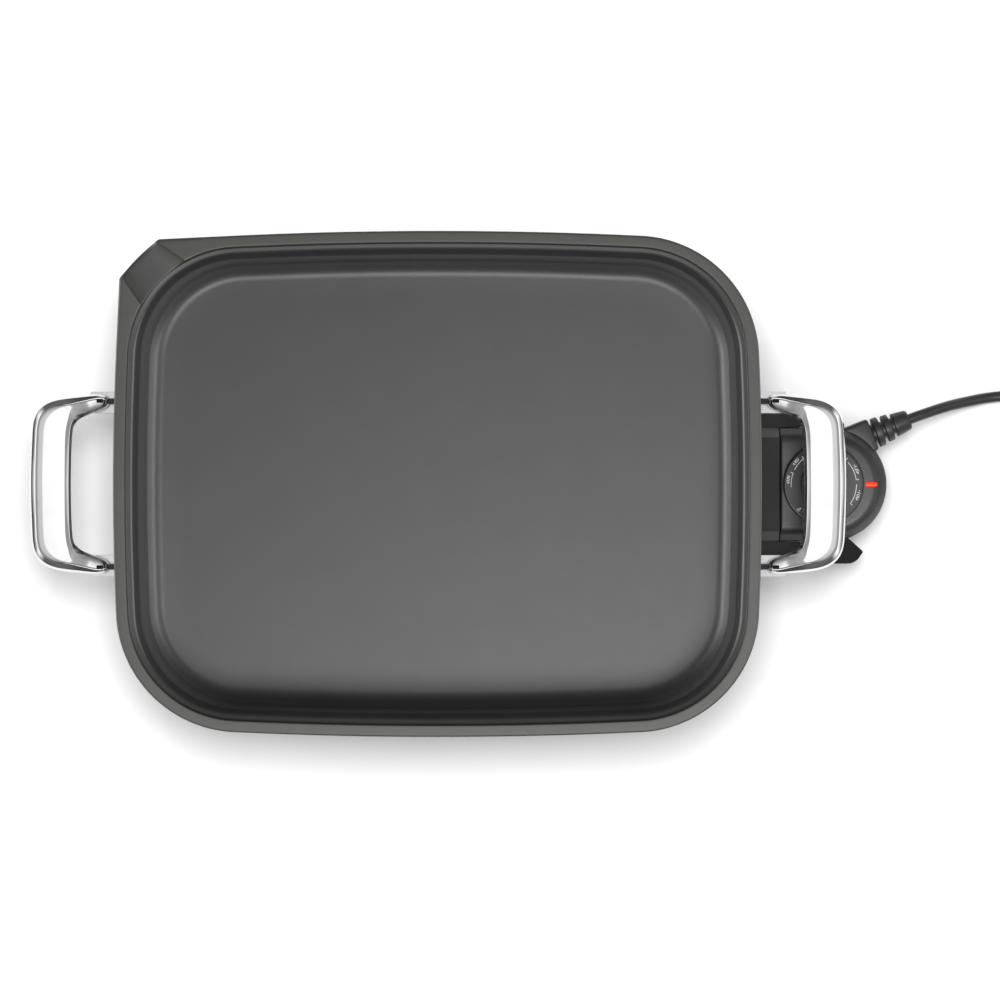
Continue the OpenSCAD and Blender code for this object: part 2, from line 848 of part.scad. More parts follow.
module plunger_spring() {
    color("silver") at_rod() translate([nose_back + 0.5, plunger_y, 0]) rotate([0, 90, 0])
        tube(helix(3.5, 12.9, 4, 16), 0.35, 6);
}

module trigger_spring() {
    color("silver") at_rod() translate(pivot) translate([0, 0, trigger_high + 0.5])
        tube(helix(2.9, 3, 3, 16), 0.35, 6);
}

// ---- cord ----

// Moulded strain relief: a root inside the cord block, two ribs and a tapering collar
module strain_relief() {
    relief = [
        [cord_radius, -12], [7, -12], [7, block_end + 0.2], [6.2, block_end + 0.6], [6.2, 4.4],
        [9.3, 4.6], [9.75, 5], [9.6, 8], [9.2, 8.4], [5.6, 8.6], [5.6, 10.8], [8.6, 11], [8.9, 11.4],
        [8.7, 14.6], [8.3, 15], [5.4, 15.2], [5.4, 17.4], [7.4, 17.6], [7.8, 18], [6.6, 27.4],
        [6.2, relief_length], [cord_radius, relief_length]
    ];
    color("#2e2e2d") at_rod() translate(relief_foot) rotate([0, 90, relief_angle])
        rotate_extrude() polygon(relief);
}

module cord_lead() {
    color("#2e2e2d") from_pan() tube(lead_route, cord_radius, cord_sides);
}

module cord_coil() {
    color("#2e2e2d") from_pan() translate(coil_place) rotate_extrude()
        translate([coil_radius - 2 * cord_radius, 0]) square(4 * cord_radius);
}

module cord_tail() {
    color("#2e2e2d") from_pan() tube(tail_route, cord_radius, cord_sides);
}

// Strap tie round the coil's bundle, on the side away from the plug
module cord_tie() {
    band = 2 * cord_radius + 1;
    color("#101010") from_pan() translate([coil_place[0] - coil_radius, coil_place[1], 0]) {
        difference() {
            translate([-band, -3, 0]) cube([2 * band, 6, 4 * cord_radius + 1]);
            translate([1 - band, -4, -1]) cube([2 * band - 2, 8, 4 * cord_radius + 1]);
        }
    }
}

// Earthed plug: a body that tapers to the cord, lying on its flat side
module plug_body() {
    half = plug_place[2];
    color("#2e2e2d") from_pan() translate(plug_place) rotate([90, 0, 0]) difference() {
        union() {
            cylinder(h = 18, r1 = 5, r2 = 7.5);
            translate([0, 0, 18]) intersection() {
                cylinder(h = 26, r = 15.5);
                translate([-16, -half, 0]) cube([32, 2 * half, 26]);
            }
        }
        translate([0, 0, -1]) cylinder(h = 9, r = cord_radius);
    }
}

module plug_pins() {
    color("silver") from_pan() translate(plug_place) translate([0, -44, 0]) {
        both_sides([1, 0, 0]) translate([5.6, -17, -0.5]) cube([1.5, 17, 6.5]);
        translate([0, 0, -5]) rotate([90, 0, 0]) cylinder(h = 20, r = 2.4);
    }
}

cooking_vessel();
heat_spreader();
heating_element();
terminal_pins();
pin_insulators();
left_handle();
right_handle();
handle_brackets();
bracket_rivets();
handle_screws();
root_spacers();
left_leg();
right_leg_guard();
heat_washers();
leg_studs();
leg_nuts();
rubber_feet();
probe_upper_shell();
probe_lower_shell();
probe_nose();
sensor_tube();
transfer_rod();
terminal_receptacles();
thermostat_frame();
shaft_bushing();
moving_contact();
fixed_contact();
contact_insulators();
stack_screw();
indicator_lamp();
lamp_lens();
internal_leads();
cord_clamp();
clamp_screws();
shell_screws();
trigger_pin();
trigger_spring();
plunger_spring();
dial();
dial_grip();
dial_shaft();
push_bead();
trigger();
ejector_plunger();
strain_relief();
cord_lead();
cord_coil();
cord_tail();
cord_tie();
plug_body();
plug_pins();
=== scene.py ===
"""Rectangular non-stick electric frypan with a plug-in temperature control: its looks, over the frame."""
import json
import math

import bmesh
import bpy
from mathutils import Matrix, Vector


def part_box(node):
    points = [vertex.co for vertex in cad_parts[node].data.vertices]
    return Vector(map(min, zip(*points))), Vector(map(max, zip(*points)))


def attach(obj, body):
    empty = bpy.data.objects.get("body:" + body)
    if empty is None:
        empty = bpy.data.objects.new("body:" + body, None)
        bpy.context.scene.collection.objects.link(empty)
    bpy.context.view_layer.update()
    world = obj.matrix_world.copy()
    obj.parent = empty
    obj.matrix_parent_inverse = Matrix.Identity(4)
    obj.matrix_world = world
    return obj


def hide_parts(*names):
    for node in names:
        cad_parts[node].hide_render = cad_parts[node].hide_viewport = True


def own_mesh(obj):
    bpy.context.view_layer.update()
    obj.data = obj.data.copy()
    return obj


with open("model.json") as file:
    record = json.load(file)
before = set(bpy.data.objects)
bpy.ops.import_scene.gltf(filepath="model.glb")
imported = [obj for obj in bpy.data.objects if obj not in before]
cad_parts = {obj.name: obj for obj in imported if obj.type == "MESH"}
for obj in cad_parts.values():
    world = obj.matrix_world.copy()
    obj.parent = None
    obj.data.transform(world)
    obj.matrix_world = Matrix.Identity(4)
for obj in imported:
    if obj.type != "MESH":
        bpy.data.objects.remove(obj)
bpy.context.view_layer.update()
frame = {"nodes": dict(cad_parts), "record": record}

MM = 0.001

# ---- the frame: every shape below is drawn in millimetres about the vessel's centre ----


def node_box(node):
    """A node's lowest and highest corners, in millimetres about the vessel's centre."""
    low, high = (Vector(corner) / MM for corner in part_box(node))
    shift = Vector((PAN_X / MM, 0, 0))
    return low - shift, high - shift


def place(point):
    """A design point in the frame, in metres."""
    return Vector((PAN_X + point[0] * MM, point[1] * MM, point[2] * MM))


vessel_low, vessel_high = (Vector(corner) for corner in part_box("cooking_vessel"))
PAN_X = (vessel_low.x + vessel_high.x) / 2
RIM_HALF_LENGTH = (vessel_high.x - vessel_low.x) / 2 / MM
RIM_HALF_WIDTH = vessel_high.y / MM
RIM = vessel_high.z / MM
UNDERSIDE = vessel_low.z / MM
COOK = UNDERSIDE + 5
ROD = UNDERSIDE - 5
SHELL_LOW, SHELL_HIGH = node_box("probe_upper_shell")
SEAM = SHELL_LOW.x
BODY_HALF = 36.4
END_CENTRE = SHELL_HIGH.x - BODY_HALF
DIAL_LOW, DIAL_HIGH = node_box("dial")
DIAL = (DIAL_LOW + DIAL_HIGH) / 2
DIAL_RADIUS = (DIAL_HIGH.x - DIAL_LOW.x) / 2

# ---- mesh helpers ----


def turned(v, angle):
    """A flat vector turned by an angle in degrees."""
    c, s = math.cos(math.radians(angle)), math.sin(math.radians(angle))
    return Vector((v[0] * c - v[1] * s, v[0] * s + v[1] * c))


def round_path(corners, steps=6, closed=False, size=2):
    """Corner points (coordinates..., radius), each turned by a short curve instead of a corner.
    The first size coordinates are lengths, and the rest are carried along."""
    out = []
    last = len(corners) - 1
    for i, corner in enumerate(corners):
        here, radius = Vector(corner[:-1]), corner[-1]
        if radius == 0 or (not closed and i in (0, last)):
            out.append(here)
            continue
        a = Vector(corners[i - 1][:-1]) - here
        b = Vector(corners[(i + 1) % len(corners)][:-1]) - here
        long_a, long_b = Vector(a[:size]), Vector(b[:size])
        turn = math.pi - long_a.angle(long_b)
        cut = min(radius * math.tan(turn / 2), 0.48 * long_a.length, 0.48 * long_b.length)
        start = here + a * (cut / long_a.length)
        end = here + b * (cut / long_b.length)
        for k in range(steps + 1):
            t = k / steps
            out.append(start * (1 - t) ** 2 + here * (2 * t * (1 - t)) + end * t ** 2)
    return out


def smooth_line(points, steps):
    """A smooth curve through the points, as a list with steps points to each span."""
    pts = [Vector(p) for p in points]
    out = []
    for i in range(len(pts) - 1):
        a, b = pts[i], pts[i + 1]
        before = pts[i - 1] if i else a * 2 - b
        after = pts[i + 2] if i + 2 < len(pts) else b * 2 - a
        for k in range(steps):
            t = k / steps
            out.append(0.5 * (2 * a + (b - before) * t
                              + (2 * before - 5 * a + 4 * b - after) * t ** 2
                              + (3 * a - before - 3 * b + after) * t ** 3))
    return out + [pts[-1]]


def loft(rings):
    """A closed skin over rings of points that all have the same count."""
    n = len(rings[0])
    points = [p for ring in rings for p in ring]
    faces = [
        (i * n + k, i * n + (k + 1) % n, (i + 1) * n + (k + 1) % n, (i + 1) * n + k)
        for i in range(len(rings) - 1) for k in range(n)
    ]
    faces.append(tuple(reversed(range(n))))
    faces.append(tuple(range((len(rings) - 1) * n, len(rings) * n)))
    return points, faces


def lathe(profile, sides, centre, axis=(0, 0, 1)):
    """A turned shape: profile is (radius, height) from one end of the axis to the other."""
    turn = Vector((0, 0, 1)).rotation_difference(Vector(axis).normalized())
    rings = [
        [Vector(centre) + turn @ Vector((r * math.cos(a), r * math.sin(a), h))
         for a in (2 * math.pi * k / sides for k in range(sides))]
        for r, h in profile
    ]
    return loft(rings)


def tube(path, radius, sides):
    """A round tube along a path, without twist."""
    rings = []
    side = None
    for i, p in enumerate(path):
        t = (path[min(i + 1, len(path) - 1)] - path[max(i - 1, 0)]).normalized()
        side = t.cross(Vector((0, 0, 1))) if side is None else side - t * side.dot(t)
        side.normalize()
        up = side.cross(t)
        rings.append([p + radius * (math.cos(a) * side + math.sin(a) * up)
                      for a in (2 * math.pi * k / sides for k in range(sides))])
    return loft(rings)


def joined(*shapes):
    """Several shapes as the one mesh of one piece."""
    points, faces = [], []
    for more_points, more_faces in shapes:
        start = len(points)
        points += more_points
        faces += [tuple(start + k for k in face) for face in more_faces]
    return points, faces


def new_object(name, shape):
    """A bare mesh object with outward faces, for a cutter or the start of a piece."""
    mesh = bpy.data.meshes.new(name)
    mesh.from_pydata([place(p) for p in shape[0]], [], shape[1])
    bm = bmesh.new()
    bm.from_mesh(mesh)
    bmesh.ops.recalc_face_normals(bm, faces=bm.faces)
    bm.to_mesh(mesh)
    bm.free()
    obj = bpy.data.objects.new(name, mesh)
    bpy.context.scene.collection.objects.link(obj)
    return obj


def finish_piece(obj, body, stands_for, sharp):
    """Shades a piece smooth up to its sharp edges and ties it to the frame."""
    obj.data.shade_smooth()
    obj.data.set_sharp_from_angle(angle=math.radians(sharp))
    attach(obj, body)
    if stands_for:
        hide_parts(*stands_for)


def piece(name, shape, body, material, stands_for=(), sharp=32):
    """A new mesh object that rides on a body of the frame."""
    obj = new_object(name, shape)
    obj.data.materials.append(material)
    finish_piece(obj, body, stands_for, sharp)
    return obj


SOFTENED_SHARP = 32
BEVEL_FROM = 28


def softened(node, name, body, material, width, segments, slot):
    """A copy of a CAD node's mesh with its hard edges rounded by width millimetres."""
    bm = bmesh.new()
    bm.from_mesh(frame["nodes"][node].data)
    bmesh.ops.remove_doubles(bm, verts=bm.verts, dist=2e-6)
    bmesh.ops.dissolve_limit(bm, angle_limit=math.radians(1), verts=bm.verts, edges=bm.edges)
    bm.normal_update()
    mesh = bpy.data.meshes.new(name)
    bm.to_mesh(mesh)
    bm.free()
    mesh.materials.clear()
    mesh.materials.append(material)
    obj = bpy.data.objects.new(name, mesh)
    bpy.context.scene.collection.objects.link(obj)
    bevel = obj.modifiers.new("rounded_edges", "BEVEL")
    bevel.width = width * MM
    bevel.segments = segments
    bevel.limit_method = "ANGLE"
    bevel.angle_limit = math.radians(BEVEL_FROM)
    bevel.use_clamp_overlap = True
    bevel.harden_normals = True
    finish_piece(obj, body, [node], SOFTENED_SHARP)


def carve(base, steps):
    """The shape base with other shapes added or cut out in turn, as one mesh: steps are (how, shape)."""
    obj = new_object("carved", base)
    for how, shape in steps:
        tool = new_object("tool", shape)
        modifier = obj.modifiers.new("carve", "BOOLEAN")
        modifier.operation, modifier.solver, modifier.object = how, "EXACT", tool
        bpy.context.view_layer.update()
        done = bpy.data.meshes.new_from_object(obj.evaluated_get(bpy.context.evaluated_depsgraph_get()))
        obj.modifiers.clear()
        obj.data = done
        bpy.data.objects.remove(tool)
    shift = Vector((PAN_X, 0, 0))
    points = [(v.co - shift) / MM for v in obj.data.vertices]
    faces = [tuple(f.vertices) for f in obj.data.polygons]
    bpy.data.objects.remove(obj)
    return points, faces


def block(low, high, edge=0.0):
    """A box between two corners, with its upright edges rounded by edge."""
    (x0, y0, z0), (x1, y1, z1) = low, high
    plan = round_path([(x0, y0, edge), (x1, y0, edge), (x1, y1, edge), (x0, y1, edge)], closed=True)
    return loft([[Vector((p.x, p.y, z)) for p in plan] for z in (z0, z1)])


def rod(start, end, radius):
    """A plain round cutter between two points."""
    way = Vector(end) - Vector(start)
    return lathe([(radius, 0), (radius, way.length)], 32, start, way)


# ---- materials ----


# The colour sockets of a mix node, which share their names with its other kinds' sockets
MIX_FACTOR, MIX_A, MIX_B, MIX_RESULT = 0, 6, 7, 2
NOISE_ROUGHNESS = 0.55


class Nodes:
    """A small help for building a material's node tree."""

    def __init__(self, name):
        self.material = bpy.data.materials.new(name)
        self.material.use_nodes = True
        self.tree = self.material.node_tree
        self.shader = self.tree.nodes["Principled BSDF"]
        self.coords = self.add("ShaderNodeTexCoord").outputs["Object"]

    def add(self, kind, **settings):
        """A new node of a kind, with its settings."""
        node = self.tree.nodes.new(kind)
        for key, value in settings.items():
            setattr(node, key, value)
        return node

    def link(self, a, b):
        """A wire from one node's output to another's input."""
        self.tree.links.new(a, b)

    def noise(self, size, detail, stretch=(1, 1, 1)):
        """A noise pattern whose features are about size millimetres across."""
        mapping = self.add("ShaderNodeMapping")
        mapping.inputs["Scale"].default_value = stretch
        self.link(self.coords, mapping.inputs["Vector"])
        texture = self.add("ShaderNodeTexNoise")
        texture.inputs["Scale"].default_value = 1 / (size * MM)
        texture.inputs["Detail"].default_value = detail
        texture.inputs["Roughness"].default_value = NOISE_ROUGHNESS
        self.link(mapping.outputs["Vector"], texture.inputs["Vector"])
        return texture.outputs["Fac"]

    def ramp(self, factor, low, high, start=0.35, end=0.65):
        """Colours or greys between low and high as the factor goes from start to end."""
        node = self.add("ShaderNodeValToRGB")
        for element, position, value in zip(node.color_ramp.elements, (start, end), (low, high)):
            element.position = position
            element.color = (*value, 1) if hasattr(value, "__len__") else (value, value, value, 1)
        self.link(factor, node.inputs["Fac"])
        return node.outputs["Color"]

    def rescaled(self, value, **ends):
        """A value carried from one range to another, each of which is 0 to 1 unless ends says."""
        node = self.add("ShaderNodeMapRange")
        for key, end in ends.items():
            node.inputs[key.replace("_", " ")].default_value = end
        self.link(value, node.inputs["Value"])
        return node.outputs["Result"]

    def times(self, value, factor, offset=None):
        """A value times a number, with another value added to it if one is given."""
        node = self.add("ShaderNodeMath", operation="MULTIPLY_ADD" if offset else "MULTIPLY")
        node.inputs[1].default_value = factor
        self.link(value, node.inputs[0])
        if offset:
            self.link(offset, node.inputs[2])
        return node.outputs["Value"]

    def mix(self, a, b, factor, blend="MIX"):
        """Two colours mixed by a number or by another node's value."""
        node = self.add("ShaderNodeMix", data_type="RGBA", blend_type=blend)
        if isinstance(factor, (int, float)):
            node.inputs[MIX_FACTOR].default_value = factor
        else:
            self.link(factor, node.inputs[MIX_FACTOR])
        self.link(a, node.inputs[MIX_A])
        self.link(b, node.inputs[MIX_B])
        return node.outputs[MIX_RESULT]

    def bump(self, height, distance):
        """Bumps about distance millimetres high."""
        node = self.add("ShaderNodeBump")
        node.inputs["Distance"].default_value = distance * MM
        self.link(height, node.inputs["Height"])
        return node.outputs["Normal"]


def tint(colour, factor):
    """A colour made lighter or darker by a factor."""
    return tuple(min(1, c * factor) for c in colour)


def surface(name, colour, rough, metallic=0.0, *, grain, relief, mottle=30, vary=0.12,
            stretch=(1, 1, 1), **constants):
    """A moulded, cast, drawn or plated surface: mottled colour, uneven gloss and a fine relief.
    Grain, relief and mottle are in millimetres, and constants go straight to the shader."""
    made = Nodes(name)
    shader = made.shader.inputs
    broad = made.noise(mottle, detail=4, stretch=stretch)
    fine = made.noise(grain, detail=2, stretch=stretch)
    made.link(made.ramp(broad, tint(colour, 1 - vary), tint(colour, 1 + vary)), shader["Base Color"])
    made.link(made.ramp(fine, max(0.02, rough * 0.82), min(1, rough * 1.15)), shader["Roughness"])
    made.link(made.bump(fine, relief), shader["Normal"])
    shader["Metallic"].default_value = metallic
    for key, value in constants.items():
        shader[key.replace("_", " ")].default_value = value
    return made.material


def grey_ramp(tree, factor, stops):
    """Greys at several positions along a factor."""
    ramp = tree.nodes.new("ShaderNodeValToRGB")
    elements = ramp.color_ramp.elements
    while len(elements) < len(stops):
        elements.new(0.5)
    for element, (position, grey) in zip(elements, stops):
        element.position = position
        element.color = (grey, grey, grey, 1)
    tree.links.new(factor, ramp.inputs["Fac"])
    return ramp.outputs["Color"]


PAN_DARK, PAN_LIGHT = (0.0290, 0.0285, 0.0285), (0.0330, 0.0325, 0.0325)
RIM_DARK, RIM_LIGHT = (0.0280, 0.0272, 0.0236), (0.0315, 0.0306, 0.0268)
PAN_ROUGHNESS, RIM_ROUGHNESS = 0.40, 0.46
# Painted light and shade by height, on the vessel's inside and outside alike: the cove and wall are painted
# lighter, as if lit from the sides, and the rolled edge and ledge are painted darker as painted shade. Each
# stop is (height over the rim's height, tone): floor, cove, wall, rolled edge, ledge and flange
PAINTED_LIGHT_BY_HEIGHT = [
    (0.352, 1.0), (0.40, 1.35), (0.44, 1.7), (0.80, 1.7), (0.865, 0.6), (0.953, 0.6), (0.965, 1.0),
]


def nonstick():
    """Dark non-stick coating: neutral and glossier in the pan, warm and duller on the rim, with painted light
    on the wall and cove and painted shade on the rolled edge and ledge.
    """
    made = Nodes("nonstick_coating")
    shader = made.shader.inputs
    split = made.add("ShaderNodeSeparateXYZ")
    made.link(made.coords, split.inputs["Vector"])
    on_rim = made.rescaled(split.outputs["Z"], From_Min=(RIM - 5) * MM, From_Max=(RIM - 1.5) * MM)
    cloud = made.noise(30, detail=5)
    speckle = made.ramp(made.noise(0.5, detail=1), 0.0, 1.0, 0.38, 0.62)
    colour = made.mix(made.ramp(cloud, PAN_DARK, PAN_LIGHT, 0.3, 0.7),
                      made.ramp(cloud, RIM_DARK, RIM_LIGHT, 0.3, 0.7), on_rim)
    flecked = made.mix(colour, speckle, 0.16, "OVERLAY")
    level = made.times(split.outputs["Z"], 1 / (RIM * MM))
    # painted light and shade: the colour is multiplied by a tone by height, lighter on the wall and cove,
    # darker on the rolled edge and ledge
    with_painted_light = made.mix(flecked, grey_ramp(made.tree, level, PAINTED_LIGHT_BY_HEIGHT), 1, "MULTIPLY")
    made.link(with_painted_light, shader["Base Color"])
    gloss = made.rescaled(on_rim, To_Min=PAN_ROUGHNESS, To_Max=RIM_ROUGHNESS)
    made.link(made.times(made.noise(9, detail=5), 0.05, gloss), shader["Roughness"])
    made.link(made.bump(made.noise(0.45, detail=2), 0.02), shader["Normal"])
    return made.material


NONSTICK = nonstick()
CHROME = surface("chrome_plate", (0.80, 0.80, 0.81), 0.09, 1.0, grain=9, relief=0.012, mottle=40, vary=0.03)
SATIN = surface("satin_plate", (0.60, 0.60, 0.61), 0.22, 1.0, grain=0.6, relief=0.01, mottle=20, vary=0.06)
BRIGHT_STEEL = surface("bright_steel", (0.58, 0.58, 0.59), 0.28, 1.0, grain=0.5, relief=0.01, mottle=12,
                       vary=0.1)
DRAWN_STEEL = surface("drawn_steel", (0.42, 0.41, 0.40), 0.34, 1.0, grain=0.35, relief=0.012,
                      stretch=(0.08, 1, 1))
CAST = surface("cast_aluminium", (0.60, 0.60, 0.61), 0.5, 1.0, grain=0.8, relief=0.08, mottle=14, vary=0.1)
BRASS = surface("brass", (0.72, 0.53, 0.25), 0.3, 1.0, grain=0.5, relief=0.008, mottle=8, vary=0.12)
NICKEL = surface("nickel", (0.66, 0.63, 0.58), 0.22, 1.0, grain=0.5, relief=0.006, mottle=10, vary=0.06)
CERAMIC = surface("steatite", (0.74, 0.71, 0.64), 0.55, grain=0.5, relief=0.02, mottle=7, vary=0.07)
PHENOLIC = surface("leg_phenolic", (0.042, 0.042, 0.041), 0.38, grain=0.55, relief=0.03, mottle=20)
PROBE = surface("probe_moulding", (0.028, 0.028, 0.0275), 0.40, grain=0.42, relief=0.035, mottle=26)
DIAL_SKIN = surface("dial_moulding", (0.018, 0.018, 0.0178), 0.42, grain=0.5, relief=0.02, mottle=22)
GRIP_SKIN = surface("dial_grip_moulding", (0.013, 0.013, 0.013), 0.34, grain=0.6, relief=0.015, mottle=18)
GLOSS = surface("trigger_moulding", (0.006, 0.006, 0.006), 0.16, grain=2.5, relief=0.01, mottle=14,
                Specular_IOR_Level=0.22)
ACETAL = surface("acetal", (0.62, 0.62, 0.58), 0.4, grain=0.8, relief=0.01, mottle=10, vary=0.04)
RUBBER = surface("foot_rubber", (0.022, 0.022, 0.022), 0.7, grain=0.4, relief=0.05, mottle=12)
SHEATH = surface("cord_sheath", (0.024, 0.024, 0.0237), 0.44, grain=1.1, relief=0.04, mottle=16)
PLUG = surface("plug_moulding", (0.022, 0.022, 0.022), 0.48, grain=0.6, relief=0.04, mottle=14)
LENS = surface("red_lens", (0.80, 0.035, 0.002), 0.34, grain=1.6, relief=0.01, mottle=3, vary=0.12,
               Emission_Color=(1.0, 0.04, 0.001, 1), Emission_Strength=0.35,
               Specular_IOR_Level=0.25)
NEON = surface("lamp_glass", (0.85, 0.40, 0.22), 0.12, grain=2, relief=0.005, mottle=4, vary=0.05,
               Transmission_Weight=0.6)
PRINT = surface("dial_print", (0.80, 0.80, 0.76), 0.55, grain=0.3, relief=0.005, mottle=5, vary=0.06)

SKIN_OF_SLOT = {
    "nonstick": NONSTICK, "cast_aluminium": CAST, "sheath_steel": DRAWN_STEEL, "steel": BRIGHT_STEEL,
    "chrome": CHROME, "brass": BRASS, "nickel": NICKEL, "ceramic": CERAMIC, "leg_plastic": PHENOLIC,
    "probe_plastic": PROBE, "dial_plastic": DIAL_SKIN, "trigger_plastic": GLOSS,
    "plunger_plastic": ACETAL, "lens_red": LENS, "lamp_glass": NEON, "foot_rubber": RUBBER,
    "cord_sheath": SHEATH, "plug_plastic": PLUG,
}


def dress_nodes():
    """Gives every CAD node the material of its slot."""
    for part in frame["record"]["subparts"]:
        mesh = frame["nodes"][part["node"]].data
        mesh.materials.clear()
        mesh.materials.append(SKIN_OF_SLOT[part["material_slot"]])


dress_nodes()

# ---- vessel ----

RIM_CORNER = 77
LONG_BOW, SHORT_BOW = 2700, 1800
LONG_CENTRE = Vector((0, RIM_HALF_WIDTH - LONG_BOW))
SHORT_CENTRE = Vector((RIM_HALF_LENGTH - SHORT_BOW, 0))
LIP_RADIUS = 90
TROUGH_DEPTH = 4.4
# Half angles, at the rim's inner and outer edge, of the spout's trough and of the flat ears beside it
TROUGH_HALF = (16.3, 9.6)
EAR_HALF = (18.8, 11.6)
SIDE_COLUMNS, CORNER_COLUMNS = 24, 64
OUTER_COLUMNS, EAR_COLUMNS, TROUGH_COLUMNS = 12, 5, 30
BESIDE_TROUGH = 2.0


def corner_circle():
    """The centre of the corner's circle, which touches both bowed sides from inside."""
    along_long, along_short = LONG_BOW - RIM_CORNER, SHORT_BOW - RIM_CORNER
    gap = SHORT_CENTRE - LONG_CENTRE
    along = (along_long ** 2 - along_short ** 2 + gap.length ** 2) / (2 * gap.length)
    rise = math.sqrt(along_long ** 2 - along ** 2)
    u = gap.normalized()
    return LONG_CENTRE + along * u + rise * Vector((u.y, -u.x))


def flat_angle(v):
    """A flat vector's direction in degrees."""
    return math.degrees(math.atan2(v[1], v[0]))


CORNER = corner_circle()
SHORT_ANGLE = flat_angle(CORNER - SHORT_CENTRE)
LONG_ANGLE = flat_angle(CORNER - LONG_CENTRE)


def spread(a, b, count):
    """count values from just after a up to b."""
    return [a + (b - a) * (k + 1) / count for k in range(count)]


def between(ends, share):
    """The value that lies a share of the way from the first end to the second."""
    return ends[0] + (ends[1] - ends[0]) * share


def corner_turns(outward, spout):
    """The columns round a corner as (angle, place across the trough from -1 to 1)."""
    if not spout:
        return [(angle, BESIDE_TROUGH) for angle in spread(SHORT_ANGLE, LONG_ANGLE, CORNER_COLUMNS)]
    edge, ear = between(TROUGH_HALF, outward), between(EAR_HALF, outward)
    before = spread(SHORT_ANGLE, 45 - ear, OUTER_COLUMNS) + spread(45 - ear, 45 - edge, EAR_COLUMNS)
    after = spread(45 + edge, 45 + ear, EAR_COLUMNS) + spread(45 + ear, LONG_ANGLE, OUTER_COLUMNS)
    turns = [(angle, BESIDE_TROUGH) for angle in before]
    for k in range(TROUGH_COLUMNS):
        across = -math.cos(math.pi * (k + 1) / TROUGH_COLUMNS)
        turns.append((45 + edge * across, across))
    return turns + [(angle, BESIDE_TROUGH) for angle in after]


def quarter_columns(outward, spout):
    """One quarter of the rim's columns: (point, outward direction, spout reach, trough share)."""
    columns = []
    for angle in spread(0, SHORT_ANGLE, SIDE_COLUMNS)[:-1]:
        way = turned((1, 0), angle)
        columns.append((SHORT_CENTRE + SHORT_BOW * way, way, 0, 0))
    for angle, across in [(SHORT_ANGLE, BESIDE_TROUGH)] + corner_turns(outward, spout):
        way = turned((1, 0), angle)
        reach = 0
        if spout:
            reach = min(RIM_CORNER / math.cos(math.radians(angle - SHORT_ANGLE)),
                        RIM_CORNER / math.cos(math.radians(LONG_ANGLE - angle)),
                        LIP_RADIUS) - RIM_CORNER
        share = max(0.0, 1 - abs(across) ** 2.4) ** 0.62 if abs(across) <= 1 else 0
        columns.append((CORNER + RIM_CORNER * way, way, reach, share))
    for angle in spread(LONG_ANGLE, 90, SIDE_COLUMNS):
        way = turned((1, 0), angle)
        columns.append((LONG_CENTRE + LONG_BOW * way, way, 0, 0))
    return columns


def vessel_ring(offset, z, outward, drop):
    """One closed ring of the vessel: offset in from the rim's edge, at height z. It follows the spout
    out by the share outward, and dips with the trough by the share drop."""
    ring = []
    for flip_x, flip_y in ((1, 1), (-1, 1), (-1, -1), (1, -1)):
        columns = quarter_columns(outward, (flip_x, flip_y) == (-1, 1))
        if flip_x * flip_y < 0:
            middle = (SHORT_CENTRE + Vector((SHORT_BOW, 0)), Vector((1, 0)), 0, 0)
            columns = columns[-2::-1] + [middle]
        for point, way, reach, share in columns:
            p = point + way * (outward * reach - offset)
            ring.append(Vector((p.x * flip_x, p.y * flip_y, z - TROUGH_DEPTH * drop * share)))
    return ring


def vessel_section():
    """The wall's outline from under the floor, up outside and down inside to the cooking surface.
    Each corner is offset, z, outward and drop as in vessel_ring, and its radius."""
    return round_path([
        (40, UNDERSIDE, 0, 0, 0),
        (12.4, UNDERSIDE, 0, 0, 14),
        (10.3, RIM - 9.3, 0, 0, 3),
        (0, RIM - 6.8, 1, 0.8, 1),
        (0, RIM, 1, 1, 2.4),
        (3, RIM, 0.583, 1, 0),
        (4.8, RIM, 0.333, 1, 0),
        (7.2, RIM, 0, 1, 0.8),
        (7.5, RIM - 5, 0, 0, 0.6),
        (11.2, RIM - 6.3, 0, 0, 5),
        (13.8, RIM - 13, 0, 0, 8),
        (14.4, COOK + 6.6, 0, 0, 4),
        (20.4, COOK, 0, 0, 15),
        (40, COOK, 0, 0, 0),
    ])


def build_vessel():
    """The die-cast vessel with its flange, lid seat and corner spout."""
    rings = [vessel_ring(*corner) for corner in vessel_section()]
    piece("vessel", loft(rings), "base", NONSTICK, ["cooking_vessel"], sharp=40)


build_vessel()

# ---- handles ----

